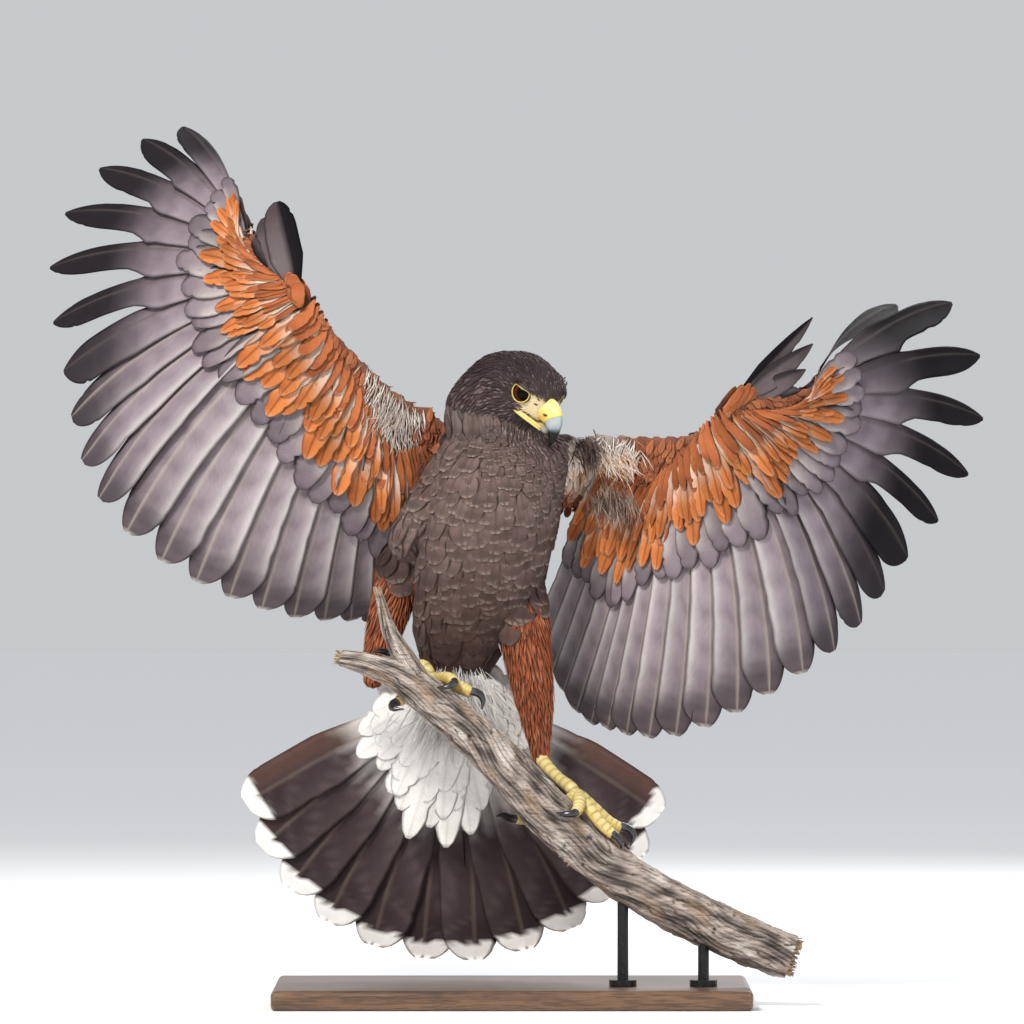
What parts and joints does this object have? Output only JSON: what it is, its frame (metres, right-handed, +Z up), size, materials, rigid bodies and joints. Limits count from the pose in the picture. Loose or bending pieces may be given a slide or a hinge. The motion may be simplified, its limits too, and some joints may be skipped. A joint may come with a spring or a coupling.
{
  "type": "harris hawk model",
  "caption": "Still life-size model of a Harris's hawk landing on a cut branch, wings raised and tail fanned, on a plain display stand.",
  "frame": {"origin": "centre of the underside of the stand's base, on the surface it rests on", "axes": "+Z up, +X towards the bird's left side, which is the viewer's right when it faces the viewer, +Y towards its back, so the breast faces -Y"},
  "size_m": [0.7674, 0.3642, 0.7096],
  "materials": {
    "dark_plumage": "matte, soft overlapping feathers",
    "chestnut_plumage": "matte, fine hair-like feathers",
    "white_plumage": "matte, soft loose feathers",
    "wing_feathers": "satin grey-brown vanes",
    "tail_feathers": "satin dark vanes with white tips",
    "bill": "semi-gloss horn",
    "claws": "semi-gloss black horn",
    "iris": "wet gloss",
    "scaled_skin": "satin scaled skin",
    "bark": "rough weathered bark",
    "stand_wood": "satin varnish",
    "stand_metal": "satin black"
  },
  "bodies": {
    "root": {"head": "dark_plumage", "neck": "dark_plumage", "torso": "dark_plumage", "bill_upper": "bill", "bill_lower": "bill", "eye_left": "iris", "eye_right": "iris", "wing_right_arm": "wing_feathers", "wing_right_hand": "wing_feathers", "wing_right_alula": "wing_feathers", "wing_left_arm": "wing_feathers", "wing_left_hand": "wing_feathers", "wing_left_alula": "wing_feathers", "tail": "tail_feathers", "undertail_coverts": "white_plumage", "leg_right_thigh": "chestnut_plumage", "leg_left_thigh": "chestnut_plumage", "leg_right_tarsus": "scaled_skin", "leg_left_tarsus": "scaled_skin", "foot_right": "scaled_skin", "foot_left": "scaled_skin", "claw_right_inner": "claws", "claw_right_middle": "claws", "claw_right_outer": "claws", "claw_right_hind": "claws", "claw_left_inner": "claws", "claw_left_middle": "claws", "claw_left_outer": "claws", "claw_left_hind": "claws", "perch_branch": "bark", "stand_base": "stand_wood", "stand_rod_1": "stand_metal", "stand_rod_2": "stand_metal"}
  },
  "joints": []
}
